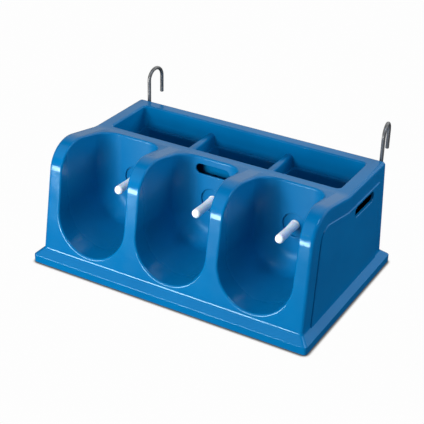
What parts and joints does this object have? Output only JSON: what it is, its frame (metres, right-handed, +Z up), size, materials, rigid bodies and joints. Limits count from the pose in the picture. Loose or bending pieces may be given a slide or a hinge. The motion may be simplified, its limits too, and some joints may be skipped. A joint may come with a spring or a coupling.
{
  "type": "three-bay teat feeder",
  "caption": "Hollow moulded milk feeder for young animals: muzzle bays with rubber teats in front, open milk compartments behind, hand slots, base flange and swivelling rail hooks.",
  "frame": {"origin": "centre of the body's rectangular footprint, on the floor", "axes": "+X along the feeder to the viewer's right when facing the bays, -Y out of the muzzle bays, +Z up"},
  "size_m": [0.812, 0.5654, 0.394],
  "materials": {
    "body_plastic": "semi-gloss rotomoulded polyethylene, fine mould texture",
    "plug_plastic": "matte",
    "teat_rubber": "smooth natural white rubber",
    "holder_plastic": "satin",
    "ball_plastic": "smooth",
    "seal_rubber": "matte",
    "nut_plastic": "satin",
    "hook_steel": "zinc plated",
    "plate_steel": "galvanised",
    "screw_steel": "zinc plated",
    "insert_brass": "turned"
  },
  "bodies": {
    "feeder": {"feeder_body": "body_plastic", "base_vent_plug": "plug_plastic", "teat_left": "teat_rubber", "teat_holder_left": "holder_plastic", "valve_retainer_left": "holder_plastic", "seal_washer_left": "seal_rubber", "lock_nut_left": "nut_plastic", "teat_middle": "teat_rubber", "teat_holder_middle": "holder_plastic", "valve_retainer_middle": "holder_plastic", "seal_washer_middle": "seal_rubber", "lock_nut_middle": "nut_plastic", "teat_right": "teat_rubber", "teat_holder_right": "holder_plastic", "valve_retainer_right": "holder_plastic", "seal_washer_right": "seal_rubber", "lock_nut_right": "nut_plastic", "hook_plate_left": "plate_steel", "hook_plate_screws_left": "screw_steel", "threaded_inserts_left": "insert_brass", "hook_plate_right": "plate_steel", "hook_plate_screws_right": "screw_steel", "threaded_inserts_right": "insert_brass"},
    "left_hook": {"hook_left": "hook_steel", "hook_washer_left": "screw_steel", "hook_lock_nut_left": "screw_steel"},
    "right_hook": {"hook_right": "hook_steel", "hook_washer_right": "screw_steel", "hook_lock_nut_right": "screw_steel"},
    "left_valve_ball": {"valve_ball_left": "ball_plastic"},
    "middle_valve_ball": {"valve_ball_middle": "ball_plastic"},
    "right_valve_ball": {"valve_ball_right": "ball_plastic"}
  },
  "joints": [
    {"name": "left_hook_swivel", "type": "hinge", "parent": "feeder", "child": "left_hook", "pos_m": [-0.36, 0.24208, 0.235], "axis": [0, 0, 1], "continuous": true},
    {"name": "right_hook_swivel", "type": "hinge", "parent": "feeder", "child": "right_hook", "pos_m": [0.36, 0.24208, 0.235], "axis": [0, 0, 1], "continuous": true},
    {"name": "left_valve_lift", "type": "slide", "parent": "feeder", "child": "left_valve_ball", "axis": [0, -1, 0], "range_m": [0, 0.003]},
    {"name": "middle_valve_lift", "type": "slide", "parent": "feeder", "child": "middle_valve_ball", "axis": [0, -1, 0], "range_m": [0, 0.003]},
    {"name": "right_valve_lift", "type": "slide", "parent": "feeder", "child": "right_valve_ball", "axis": [0, -1, 0], "range_m": [0, 0.003]}
  ]
}
